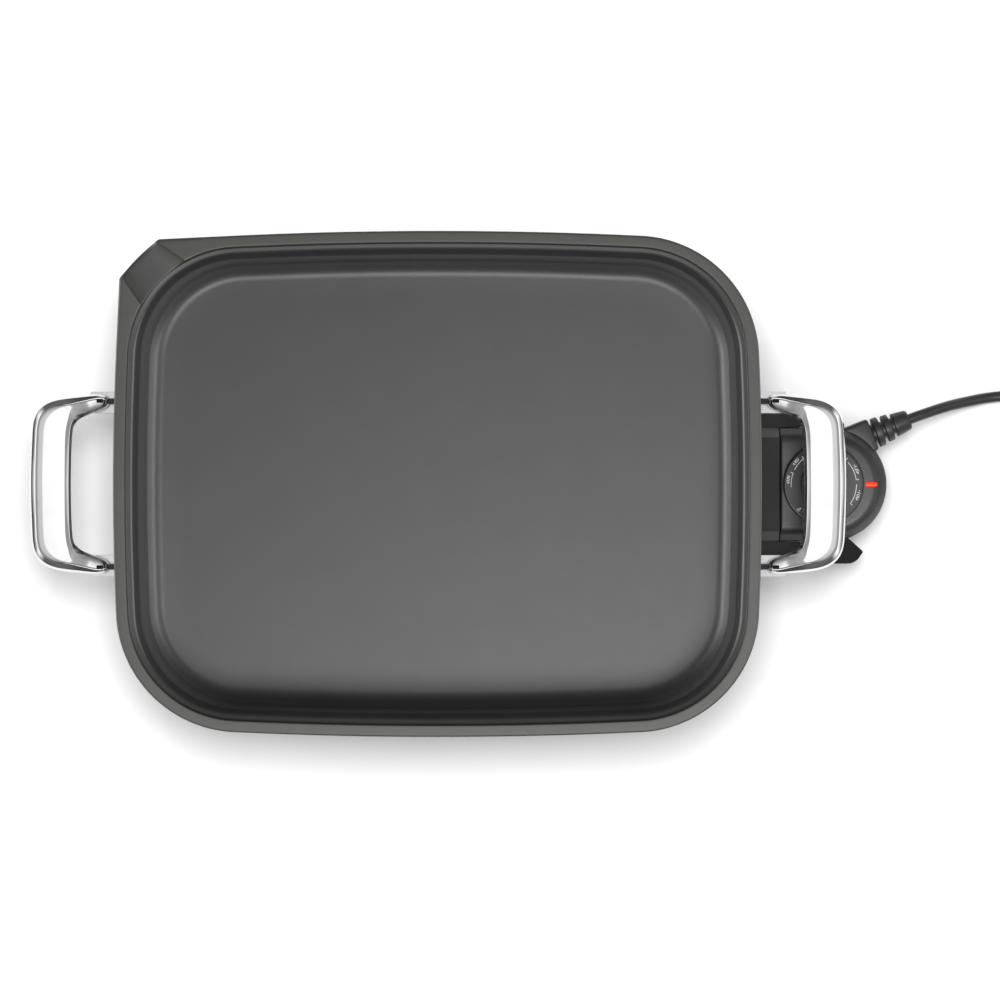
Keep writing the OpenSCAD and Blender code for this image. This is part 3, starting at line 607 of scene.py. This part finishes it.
HANDLE_STATIONS = [
    # outer edge x, y; facet's outer line x, y; facet's inner line x, y; inner edge x, y;
    # top, bottom, crown
    (-206.9, 53.4, -207.5, 52.7, -207.5, 51.1, -206.9, 50.2, 92.4, 83.0, 0.6),
    (-208.6, 55.3, -209.2, 53.2, -209.1, 50.2, -208.3, 48.4, 93.7, 80.8, 0.8),
    (-211.6, 56.2, -211.8, 53.7, -211.6, 49.2, -210.8, 46.8, 94.2, 80.0, 0.9),
    (-216.0, 56.3, -215.8, 53.4, -214.8, 48.4, -214.0, 45.5, 94.3, 80.0, 0.9),
    (-221.5, 55.9, -220.4, 52.4, -218.6, 47.4, -217.6, 44.1, 94.6, 80.6, 0.8),
    (-227.5, 55.4, -225.9, 51.1, -223.9, 47.0, -221.4, 42.4, 96.1, 81.9, 0.5),
    (-232.5, 54.9, -230.8, 49.9, -228.4, 47.6, -224.2, 40.7, 97.0, 83.2, 0.1),
    (-238.7, 53.8, -236.4, 49.3, -230.1, 44.9, -226.2, 38.9, 97.0, 84.0, 0.0),
    (-244.0, 52.0, -241.2, 48.1, -230.9, 41.5, -227.5, 37.2, 97.0, 84.0, 0.0),
    (-248.2, 49.4, -244.9, 46.1, -231.7, 38.6, -228.3, 35.2, 97.0, 84.0, 0.0),
    (-251.6, 45.7, -248.0, 43.2, -232.3, 35.8, -228.7, 32.8, 97.0, 84.0, 0.0),
    (-253.7, 41.0, -250.0, 39.4, -232.7, 32.5, -229.0, 29.6, 97.0, 84.0, 0.0),
    (-254.8, 34.5, -250.9, 33.8, -233.0, 28.0, -229.2, 26.0, 97.0, 84.0, 0.0),
    (-255.3, 24.0, -251.4, 24.0, -233.15, 20.0, -229.5, 19.0, 97.0, 84.0, 0.0),
    (-255.8, 11.0, -251.8, 11.0, -233.25, 9.5, -229.7, 9.0, 97.0, 84.0, 0.0),
    (-255.95, 0.0, -251.9, 0.0, -233.3, 0.0, -229.8, 0.0, 97.0, 84.0, 0.0),
]


FULL_DEPTH = 13


def handle_ring(station, mirror):
    """One section of a handle: upright inner side, two chamfers, flat facet, rolled outer edge."""
    outer, crest, brow, inner = (Vector((station[i], station[i + 1])) for i in (0, 2, 4, 6))
    top, bottom, crown = station[8:]
    tall = (top - bottom) / FULL_DEPTH
    soft = 0.5 + 6 * crown

    def at(flat, z, radius):
        return (flat.x * mirror, flat.y, z, radius)

    return [p.to_3d() for p in round_path([
        at(inner, bottom, 3.2),
        at(inner, top - 3.0 * tall, 0.7),
        at(inner.lerp(brow, 0.36), top - 1.0 * tall - 0.3 * crown, 1.0 + crown),
        at(brow, top - 0.5 * crown, soft),
        at(brow.lerp(crest, 0.75), top, 6),
        at(brow.lerp(crest, 0.92), top - 0.2, 3),
        at(crest, top - 0.55 - 0.4 * crown, 2),
        at(crest.lerp(outer, 0.72), top - 2.4 * tall, 1.6),
        at(outer, top - 5.8 * tall, 2.4),
        at(outer, bottom, 4.5),
    ], steps=4, closed=True, size=3)]


def build_handle(side, mirror):
    """A handle: its stations run from one root's tip round to the other."""
    other_half = [tuple(-v if k in (1, 3, 5, 7) else v for k, v in enumerate(s))
                  for s in HANDLE_STATIONS[-2::-1]]
    stations = smooth_line(HANDLE_STATIONS + other_half, 6)
    rings = [handle_ring(tuple(s), mirror) for s in stations]
    piece(side + "_grip", loft(rings), "base", CHROME, [side + "_handle"], sharp=24)


build_handle("left", 1)
build_handle("right", -1)


def build_necks():
    """The dark neck between the tip of each handle root and the vessel's wall."""
    tip, wall, side, half_wide = 207.0, 191.6, 52.0, 1.7
    low, high = node_box("root_spacers")
    shapes = []
    for start, end in ((-tip, -wall), (wall, tip)):
        for y in (-side, side):
            shapes.append(block((start, y - half_wide, low.z), (end, y + half_wide, high.z), 0.6))
    piece("neck_spacers", joined(*shapes), "base", PHENOLIC, ["root_spacers"])


build_necks()


def build_root_plugs():
    """The small dark plug in the top of each handle root."""
    plug_x, plug_y, half_long, half_wide, corner, top = 211.6, 52.1, 2.1, 1.25, 0.7, 94.4
    plan = round_path([(-half_long, -half_wide, corner), (half_long, -half_wide, corner),
                       (half_long, half_wide, corner), (-half_long, half_wide, corner)], closed=True)
    shapes = []
    for x in (-plug_x, plug_x):
        for y in (plug_y, -plug_y):
            shapes.append(loft([[Vector((x + p.x * scale, y + p.y * scale, z)) for p in plan]
                                for scale, z in ((0.9, top - 3), (1.0, top - 0.3),
                                                 (0.97, top - 0.08), (0.88, top))]))
    piece("root_plugs", joined(*shapes), "base", GLOSS)


build_root_plugs()

# ---- temperature control ----

BODY_FLAT_INSET = 6.4
SHELL_WALL = 2.4
RELIEF_FOOT = Vector((276.6, 31.5, ROD))
RELIEF_ANGLE = 22
RELIEF_WAY = Vector((math.cos(math.radians(RELIEF_ANGLE)), math.sin(math.radians(RELIEF_ANGLE)), 0))
PIVOT = Vector((250, -29.5))
SCREWS = [(231, 30.3), (231, -30.3), (272, -20)]
BLOCK_END = 2
# Each point is (inset, rise from the parting line, inset at the front, radius)
UPPER_SECTION = [
    (0.3, 0, 0.3, 0), (0, 0.3, 0, 0.2), (0, 10, 0, 5), (BODY_FLAT_INSET, 18, 0.5, 8), (15, 18, 3, 0),
]
LOWER_SECTION = [
    (0.3, 0, 0.3, 0), (0, -0.3, 0, 0.2), (0, -12, 0, 2.5), (4.4, -18, 0.5, 2.2), (14, -18, 3, 0),
]
ROOF_FROM = 11


def body_ring(inset, z, front_inset, wall):
    """The control body's outline at one height: straight at the front, round at the end."""
    half = BODY_HALF - inset - wall
    front = SEAM + front_inset + wall
    corner = 0.8
    start = round_path([(END_CENTRE, half, 0), (front, half, corner), (front, -half, corner),
                        (END_CENTRE, -half, 0)], steps=3)
    arc = [Vector((END_CENTRE, 0)) + turned((0, -half), angle) for angle in spread(0, 180, 60)[:-1]]
    return [Vector((p.x, p.y, z)) for p in start + arc]


def body_half(section, wall=0.0, reach=0.0):
    """The upper or lower half of the control's body, or the hollow inside its wall, which starts a
    little beyond the parting line."""
    sign = 1 if section is UPPER_SECTION else -1
    lead_in = [(0, -reach * sign, 0, 0)] if wall else []
    path = round_path([(inset, rise - wall * sign * (abs(rise) > ROOF_FROM), front, radius)
                       for inset, rise, front, radius in lead_in + section], steps=5)
    return loft([body_ring(inset, ROD + rise, front, wall) for inset, rise, front in path])


def cord_block(half, start, end, edge):
    """The square block that the cord leaves through, with its edges rounded."""
    across = Vector((-RELIEF_WAY.y, RELIEF_WAY.x, 0))
    rings = []
    for along, scale in ((start, 1), (end - edge / 2, 1), (end - edge / 6, 0.965), (end, 0.9)):
        h = half * scale
        plan = round_path([(-h, -h, edge), (h, -h, edge), (h, h, edge), (-h, h, edge)], closed=True)
        rings.append([RELIEF_FOOT + RELIEF_WAY * along + across * p.x + Vector((0, 0, p.y)) for p in plan])
    return loft(rings)


def halfspace(upper):
    """A big block above or below the parting line."""
    far = ROD + 40 if upper else ROD - 40
    return block((200, -60, min(ROD, far)), (320, 60, max(ROD, far)))


def upright_cut(x, y, low, high, radius):
    """A step for carve: a round hole at x, y between two heights about the parting line."""
    return ("DIFFERENCE", rod((x, y, ROD + low), (x, y, ROD + high), radius))


def screw_cuts(low, high, radius):
    """The same hole at every shell screw."""
    return [upright_cut(x, y, low, high, radius) for x, y in SCREWS]


def build_shells():
    """The two halves of the control's shell, hollow, with the openings that its parts need."""
    relief_hole = rod(RELIEF_FOOT - RELIEF_WAY * 12, RELIEF_FOOT + RELIEF_WAY * (BLOCK_END + 1), 7.1)
    for name, section, upper in (("upper", UPPER_SECTION, True), ("lower", LOWER_SECTION, False)):
        exit_block = carve(cord_block(10.6, -24, BLOCK_END, 2.6), [("INTERSECT", halfspace(upper))])
        hollow = carve(body_half(section, SHELL_WALL, 1.0), screw_cuts(-30, 30, 4) + [
            upright_cut(PIVOT.x, PIVOT.y, -30, -8, 3.8), upright_cut(PIVOT.x, PIVOT.y, 11, 30, 3.8)])
        steps = [
            ("UNION", exit_block),
            ("DIFFERENCE", hollow),
            ("DIFFERENCE", cord_block(8.2, -23, BLOCK_END - SHELL_WALL, 1)),
            ("DIFFERENCE", block((SEAM - 1, -30.2, ROD - 13.2), (SEAM + 7, 30.2, ROD + 13.2))),
            ("DIFFERENCE", block((237, -40, ROD - 7.6), (267, -30.4, ROD + 7.6))),
            ("DIFFERENCE", relief_hole),
            upright_cut(PIVOT.x, PIVOT.y, -15.5, 15.5, 2),
        ]
        if upper:
            steps += [upright_cut(DIAL.x, 0, 0, 30, 4.6),
                      ("DIFFERENCE", block((272.4, -1.6, ROD + 10), (280.4, 1.6, ROD + 20), 1.5))]
            steps += screw_cuts(-1, 10, 1.52)
        else:
            steps += screw_cuts(-30, 5, 1.6) + screw_cuts(-30, -13, 3)
        piece("shell_" + name, carve(body_half(section), steps), "control", PROBE,
              ["probe_" + name + "_shell"], sharp=30)


build_shells()


def build_dial():
    """The dial: a disc with a rolled edge and a fine step round its face."""
    low, high, rim = DIAL_LOW.z, DIAL_HIGH.z, DIAL_RADIUS
    middle, face = 0.01, high - 0.12
    profile = [(middle, low), (rim - 0.9, low), (rim - 0.3, low + 0.2), (rim, low + 0.7), (rim, high - 1.2),
               (rim - 0.08, high - 0.75), (rim - 0.35, high - 0.3), (rim - 0.75, high - 0.06),
               (rim - 1.1, high), (rim - 1.7, high), (rim - 1.85, face), (rim - 2.1, face), (middle, face)]
    piece("dial_disc", lathe(profile, 160, (DIAL.x, 0, 0)), "dial_knob", DIAL_SKIN,
          ["dial"], sharp=35)


def arc_strip(inner, outer, start, end, z, thick):
    """A thin printed arc on the dial."""
    steps = max(4, round(abs(end - start) / 3))
    rings = []
    for k in range(steps + 1):
        way = turned((1, 0), start + (end - start) * k / steps)
        a, b = way * inner, way * outer
        rings.append([Vector((DIAL.x + a.x, a.y, z)), Vector((DIAL.x + b.x, b.y, z)),
                      Vector((DIAL.x + b.x, b.y, z + thick)), Vector((DIAL.x + a.x, a.y, z + thick))])
    return loft(rings)


NUMBER_SIZE = 3.51


def number_shape(label, angle, radius, z, thick):
    """A generic number as a thin raised mesh, its foot towards the dial's middle."""
    text = bpy.data.curves.new("number", "FONT")
    text.body = label
    text.size = NUMBER_SIZE * MM
    text.align_x, text.align_y = "CENTER", "CENTER"
    text.extrude = thick / 2 * MM
    text.resolution_u = 3
    obj = bpy.data.objects.new("number", text)
    bpy.context.scene.collection.objects.link(obj)
    bpy.context.view_layer.update()
    mesh = bpy.data.meshes.new_from_object(obj.evaluated_get(bpy.context.evaluated_depsgraph_get()))
    bpy.data.objects.remove(obj)
    bm = bmesh.new()
    bm.from_mesh(mesh)
    bmesh.ops.remove_doubles(bm, verts=bm.verts, dist=1e-6)
    points = []
    for v in bm.verts:
        p = turned((v.co.x / MM, v.co.y / MM + radius), angle - 90)
        points.append(Vector((DIAL.x + p.x, p.y, z + thick / 2 + v.co.z / MM)))
    bm.verts.index_update()
    faces = [tuple(v.index for v in f.verts) for f in bm.faces]
    bm.free()
    return points, faces


# Each mark is (number, where its arc starts, where it ends), in degrees
SCALE = [("0", 225, 225), ("200", 159, 186), ("180", 127, 155), ("160", 93, 123), ("140", 47, 89),
         ("120", 7, 43), ("100", -37, 1)]


def build_print():
    """The dial's printed scale: arcs with end ticks, and generic numbers between two dots outside them."""
    inner, outer, tick, label_radius = 20.7, 21.05, 22.6, 23.0
    inset, half_tick, half_dot, half_dot_turn = 1, 0.5, 0.25, 0.7
    z, thick = DIAL_HIGH.z - 0.125, 0.03
    shapes = []
    for label, start, end in SCALE:
        first = start + inset
        if end > start:
            shapes.append(arc_strip(inner, outer, first, end - inset, z, thick))
        shapes.append(arc_strip(inner, tick, first - half_tick, first + half_tick, z, thick))
        if end > start:
            for share in (0.3, 0.7):
                angle = between((start, end), share)
                shapes.append(arc_strip(label_radius - half_dot, label_radius + half_dot,
                                        angle - half_dot_turn, angle + half_dot_turn, z, thick))
        shapes.append(number_shape(label, (start + end) / 2, label_radius + 0.1, z, thick))
    piece("dial_print", joined(*shapes), "dial_knob", PRINT)


build_dial()
build_print()


def build_lens():
    """The red bar beside the dial, crowned and round at both ends, on a foot inside the shell."""
    low, high = node_box("lamp_lens")
    start, end, half = DIAL.x + DIAL_RADIUS + 1.1, high.x, 1.45
    middle = (start + end) / 2
    plan = round_path([(start, -half, 0.9), (end, -half, 1.4), (end, half, 1.4), (start, half, 0.9)],
                      closed=True)
    bar = loft([[Vector((middle + (p.x - middle) * long, p.y * wide, z)) for p in plan]
                for long, wide, z in ((1, 1, low.z + 0.9), (1, 1, high.z - 0.45), (0.985, 0.93, high.z - 0.2),
                                      (0.95, 0.72, high.z - 0.05), (0.9, 0.4, high.z))])
    foot = block((start - 1, -2.6, low.z), (end - 1.5, 2.6, low.z + 0.95), 0.8)
    piece("indicator_lens", joined(bar, foot), "control", LENS, ["lamp_lens"])


build_lens()

SOFTENED = [
    # CAD node, piece, body, material, edge radius, segments, slot
    ("right_leg_guard", "guard_and_right_leg", "base", PHENOLIC, 0.9, 3, "leg_plastic"),
    ("left_leg", "left_leg_moulding", "base", PHENOLIC, 0.9, 3, "leg_plastic"),
    ("handle_brackets", "bracket_channels", "base", SATIN, 0.6, 3, "chrome"),
    ("trigger", "release_lever", "release_trigger", GLOSS, 0.9, 4, "trigger_plastic"),
    ("dial_grip", "dial_bar", "dial_knob", GRIP_SKIN, 0.9, 4, "dial_plastic"),
    ("probe_nose", "nose_insert", "control", PHENOLIC, 0.5, 2, "probe_plastic"),
    ("plug_body", "mains_plug_body", "control", PLUG, 1.4, 4, "plug_plastic"),
    ("plug_pins", "mains_plug_pins", "control", NICKEL, 0.3, 2, "nickel"),
    ("cord_tie", "coil_tie", "control", PLUG, 0.35, 2, "plug_plastic"),
    ("rubber_feet", "foot_pads", "base", RUBBER, 0.5, 3, "foot_rubber"),
    ("pin_insulators", "insulator_bushes", "base", CERAMIC, 0.4, 2, "ceramic"),
    ("handle_screws", "root_screws", "base", BRIGHT_STEEL, 0.3, 2, "steel"),
    ("bracket_rivets", "side_rivets", "base", CHROME, 0.3, 2, "chrome"),
]
for row in SOFTENED:
    softened(*row)

SPRING_WIRE = 0.35
STEPS_PER_TURN = 24


def build_spring(node, name, along, turns):
    """A coil spring in the place of a CAD node, wound round the direction along."""
    low, high = node_box(node)
    middle = (low + high) / 2
    length = abs((high - low).dot(along)) - 2 * SPRING_WIRE
    across, up = Vector((0, 1, 0)), along.cross(Vector((0, 1, 0)))
    radius = (high.y - low.y) / 2 - SPRING_WIRE
    steps = STEPS_PER_TURN * turns
    path = []
    for k in range(steps + 1):
        a = 2 * math.pi * k / STEPS_PER_TURN
        path.append(middle + along * length * (k / steps - 0.5)
                    + radius * (math.cos(a) * up + math.sin(a) * across))
    return piece(name, tube(path, SPRING_WIRE, 10), "control", BRIGHT_STEEL, [node])


def build_springs():
    """The lever's spring, and the plunger's spring, which gets a mesh of its own; the real plunger spring
    shortens as the plunger is pushed in.
    """
    build_spring("trigger_spring", "lever_spring", Vector((0, 0, 1)), 3)
    spring = build_spring("plunger_spring", "return_spring", Vector((1, 0, 0)), 4)
    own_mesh(spring)


build_springs()

# ---- cord ----

CORD_RADIUS = 3.4
EXIT = (276.6, 31.46, 28)
INNER_END = [(258.3, 24.1, ROD), (268, 28, ROD), EXIT]
LEAD = [
    EXIT, (283, 34, 28), (294, 38.5, 28), (304, 42.5, 28), (317, 47, 24.5), (330, 51, 17),
    (343, 54, 9.5), (356, 56.5, 4.5), (370, 58, 3.5), (386, 59, 3.45), (402, 59.4, 3.4),
]
COIL_CENTRE = Vector((417, 16, 0))
COIL_OUTER, COIL_INNER = 43.4, 36.6
LAYER_LOW, LAYER_HIGH = 3.4, 10.2
TAIL = [(460.4, 4, 10.4), (460.4, -6, 10.9), (460.4, -16, 11.4), (460.4, -26, 12)]
# In degrees swept round the coil: where it moves in to its inner turn, up to its upper layer and out
# again, where it ends, and the step between two of its points
GOES_IN, GOES_UP, GOES_OUT = (270, 345), (590, 680), (920, 1000)
COIL_END = 1170
COIL_STEP = 7.5


def eased(x, start, end):
    """A smooth rise from 0 at start to 1 at end."""
    t = min(1, max(0, (x - start) / (end - start)))
    return t * t * (3 - 2 * t)


def coil_point(swept):
    """The cord in its coil after it has swept so many degrees, clockwise from the top."""
    radius = between((COIL_OUTER, COIL_INNER), eased(swept, *GOES_IN) - eased(swept, *GOES_OUT))
    z = between((LAYER_LOW, LAYER_HIGH), eased(swept, *GOES_UP))
    flat = turned((0, radius), -swept)
    return COIL_CENTRE + Vector((flat.x, flat.y, z))


def cord_path():
    """The whole cord: its lead from the control, the coil, and its tail to the plug."""
    coil = [coil_point(COIL_STEP * k) for k in range(round(COIL_END / COIL_STEP) + 1)]
    lead = smooth_line([Vector(p) for p in LEAD] + coil[:2], 4)[:-5]
    tail = smooth_line(coil[-1:] + [Vector(p) for p in TAIL], 3)
    return lead + coil[:-1] + tail


def build_relief():
    """The moulded strain relief: a root, two ribs and a collar that tapers down to the cord."""
    bore = CORD_RADIUS - 0.3
    profile = round_path([
        (bore, -12, 0), (7, -12, 0.3), (7, BLOCK_END + 0.1, 0), (6.3, BLOCK_END + 0.5, 0.2),
        (6.2, 4.4, 0.3), (9.75, 4.5, 0.5), (9.6, 8.5, 0.7), (5.7, 8.6, 0.3),
        (5.6, 10.9, 0.3), (8.9, 11, 0.5), (8.7, 15.1, 0.7), (5.5, 15.2, 0.3),
        (5.4, 17.4, 0.3), (7.8, 17.5, 0.6), (6.6, 26.6, 6), (5.6, 27.9, 1.2), (bore, 28, 0),
    ], steps=4)
    return piece("strain_relief_boot", lathe([tuple(p) for p in profile], 48, RELIEF_FOOT, RELIEF_WAY),
                 "control", SHEATH, ["strain_relief"], sharp=40)


def build_cord():
    """The cord with its strain relief and a short inner end inside the control, the cord drawn as one tube
    that ends in the plug.
    """
    path = cord_path()
    relief = build_relief()
    piece("cord_inner_end", tube([Vector(p) for p in INNER_END], CORD_RADIUS - 0.02, 20),
          "control", SHEATH)
    cord = piece("mains_cord", tube(path, CORD_RADIUS, 20), "control", SHEATH,
                 ["cord_lead", "cord_coil", "cord_tail"])


build_cord()

# ---- stage, lights and camera ----


TABLE_HALF = 6.0
TABLE_DROP = 0.0002


def build_floor():
    """A plain pale table top just under the feet, in metres."""
    mesh = bpy.data.meshes.new("table_top")
    mesh.from_pydata([(x * TABLE_HALF, y * TABLE_HALF, -TABLE_DROP)
                      for x, y in ((-1, -1), (1, -1), (1, 1), (-1, 1))], [], [(0, 1, 2, 3)])
    floor = bpy.data.objects.new("table_top", mesh)
    bpy.context.scene.collection.objects.link(floor)
    made = Nodes("table_paint")
    made.link(made.ramp(made.noise(200, detail=2), 0.90, 0.92), made.shader.inputs["Base Color"])
    made.shader.inputs["Roughness"].default_value = 0.9
    made.shader.inputs["Specular IOR Level"].default_value = 0.1
    mesh.materials.append(made.material)


def area_light(name, azimuth, elevation, distance, width, height, power):
    """A soft box aimed at the pan: angles in degrees, azimuth from +X towards +Y, sizes in metres."""
    light = bpy.data.lights.new(name, "AREA")
    light.shape = "RECTANGLE"
    light.size, light.size_y = width, height
    light.energy = power
    lamp = bpy.data.objects.new(name, light)
    a, e = math.radians(azimuth), math.radians(elevation)
    way = Vector((math.cos(a) * math.cos(e), math.sin(a) * math.cos(e), math.sin(e)))
    lamp.location = way * distance
    lamp.rotation_mode = "QUATERNION"
    lamp.rotation_quaternion = (-way).to_track_quat("-Z", "Y")
    bpy.context.scene.collection.objects.link(lamp)
    return lamp


# Each stop is (position, grey). Overhead brightness by the sine of the elevation, and the side panels
# by how far a direction points sideways and by the same sine.
SKY = [
    (0.00, 0.05), (0.30, 0.08), (0.60, 0.20), (0.85, 0.38), (0.94, 0.48), (0.975, 0.80), (0.992, 1.25),
    (1.0, 1.3),
]
PANEL_SIDE = [(0.62, 0.0), (0.84, 1.0)]
PANEL_HEIGHT = [(0.24, 0.0), (0.40, 1.0), (0.74, 1.0), (0.90, 0.0)]
PANEL_BRIGHTNESS = 1.5


def math_node(tree, operation):
    """A math node of one kind."""
    node = tree.nodes.new("ShaderNodeMath")
    node.operation = operation
    return node


def build_world():
    """A studio: a bright panel overhead and soft panels left and right, in a dim room."""
    world = bpy.data.worlds.new("studio")
    bpy.context.scene.world = world
    world.use_nodes = True
    tree = world.node_tree
    coords = tree.nodes.new("ShaderNodeTexCoord")
    split = tree.nodes.new("ShaderNodeSeparateXYZ")
    side, panel = math_node(tree, "ABSOLUTE"), math_node(tree, "MULTIPLY")
    total = math_node(tree, "MULTIPLY_ADD")
    total.inputs[1].default_value = PANEL_BRIGHTNESS
    tree.links.new(coords.outputs["Generated"], split.inputs["Vector"])
    tree.links.new(split.outputs["X"], side.inputs[0])
    tree.links.new(grey_ramp(tree, side.outputs["Value"], PANEL_SIDE), panel.inputs[0])
    tree.links.new(grey_ramp(tree, split.outputs["Z"], PANEL_HEIGHT), panel.inputs[1])
    tree.links.new(panel.outputs["Value"], total.inputs[0])
    tree.links.new(grey_ramp(tree, split.outputs["Z"], SKY), total.inputs[2])
    tree.links.new(total.outputs["Value"], tree.nodes["Background"].inputs["Color"])


def light_only(lamp, names):
    """Keeps a lamp's light for the named objects, as a flag does in a studio."""
    group = bpy.data.collections.new(lamp.name + "_lights")
    for name in names:
        group.objects.link(bpy.data.objects[name])
    lamp.light_linking.receiver_collection = group


CAMERA_HEIGHT = 2200
CAMERA_PLACE = (38.9, -10.0)
FRAMED_WIDTH = 622


def build_camera():
    """Straight down from above, as the product is seen from a tall stand."""
    data = bpy.data.cameras.new("camera")
    data.sensor_width = 36
    data.lens = data.sensor_width * CAMERA_HEIGHT / FRAMED_WIDTH
    camera = bpy.data.objects.new("camera", data)
    camera.location = place((CAMERA_PLACE[0], CAMERA_PLACE[1], RIM + CAMERA_HEIGHT))
    bpy.context.scene.collection.objects.link(camera)
    bpy.context.scene.camera = camera


build_floor()
build_world()

TABLE = ["table_top"]
DARK_PIECES = ["vessel", "shell_upper", "shell_lower", "dial_disc", "dial_bar", "dial_print",
               "indicator_lens", "strain_relief_boot", "mains_cord"]
LAMPS = [
    # name, azimuth, elevation, distance, width, height, power; what it lights
    (("table_key", 90, 82, 2.4, 0.7, 0.7, 32), TABLE),
    (("table_soft", 90, 88, 2.4, 2.4, 2.4, 30), TABLE),
    (("pan_sheen", -72, 73, 2.2, 1.2, 0.5, 36), DARK_PIECES),
    (("pan_left", 180, 16, 2.2, 1.0, 0.6, 40), ["vessel"]),
    (("pan_right", 0, 16, 2.2, 1.0, 0.6, 28), ["vessel"]),
]
for settings, lit in LAMPS:
    light_only(area_light(*settings), lit)
build_camera()
bpy.context.scene.view_settings.view_transform = "Standard"
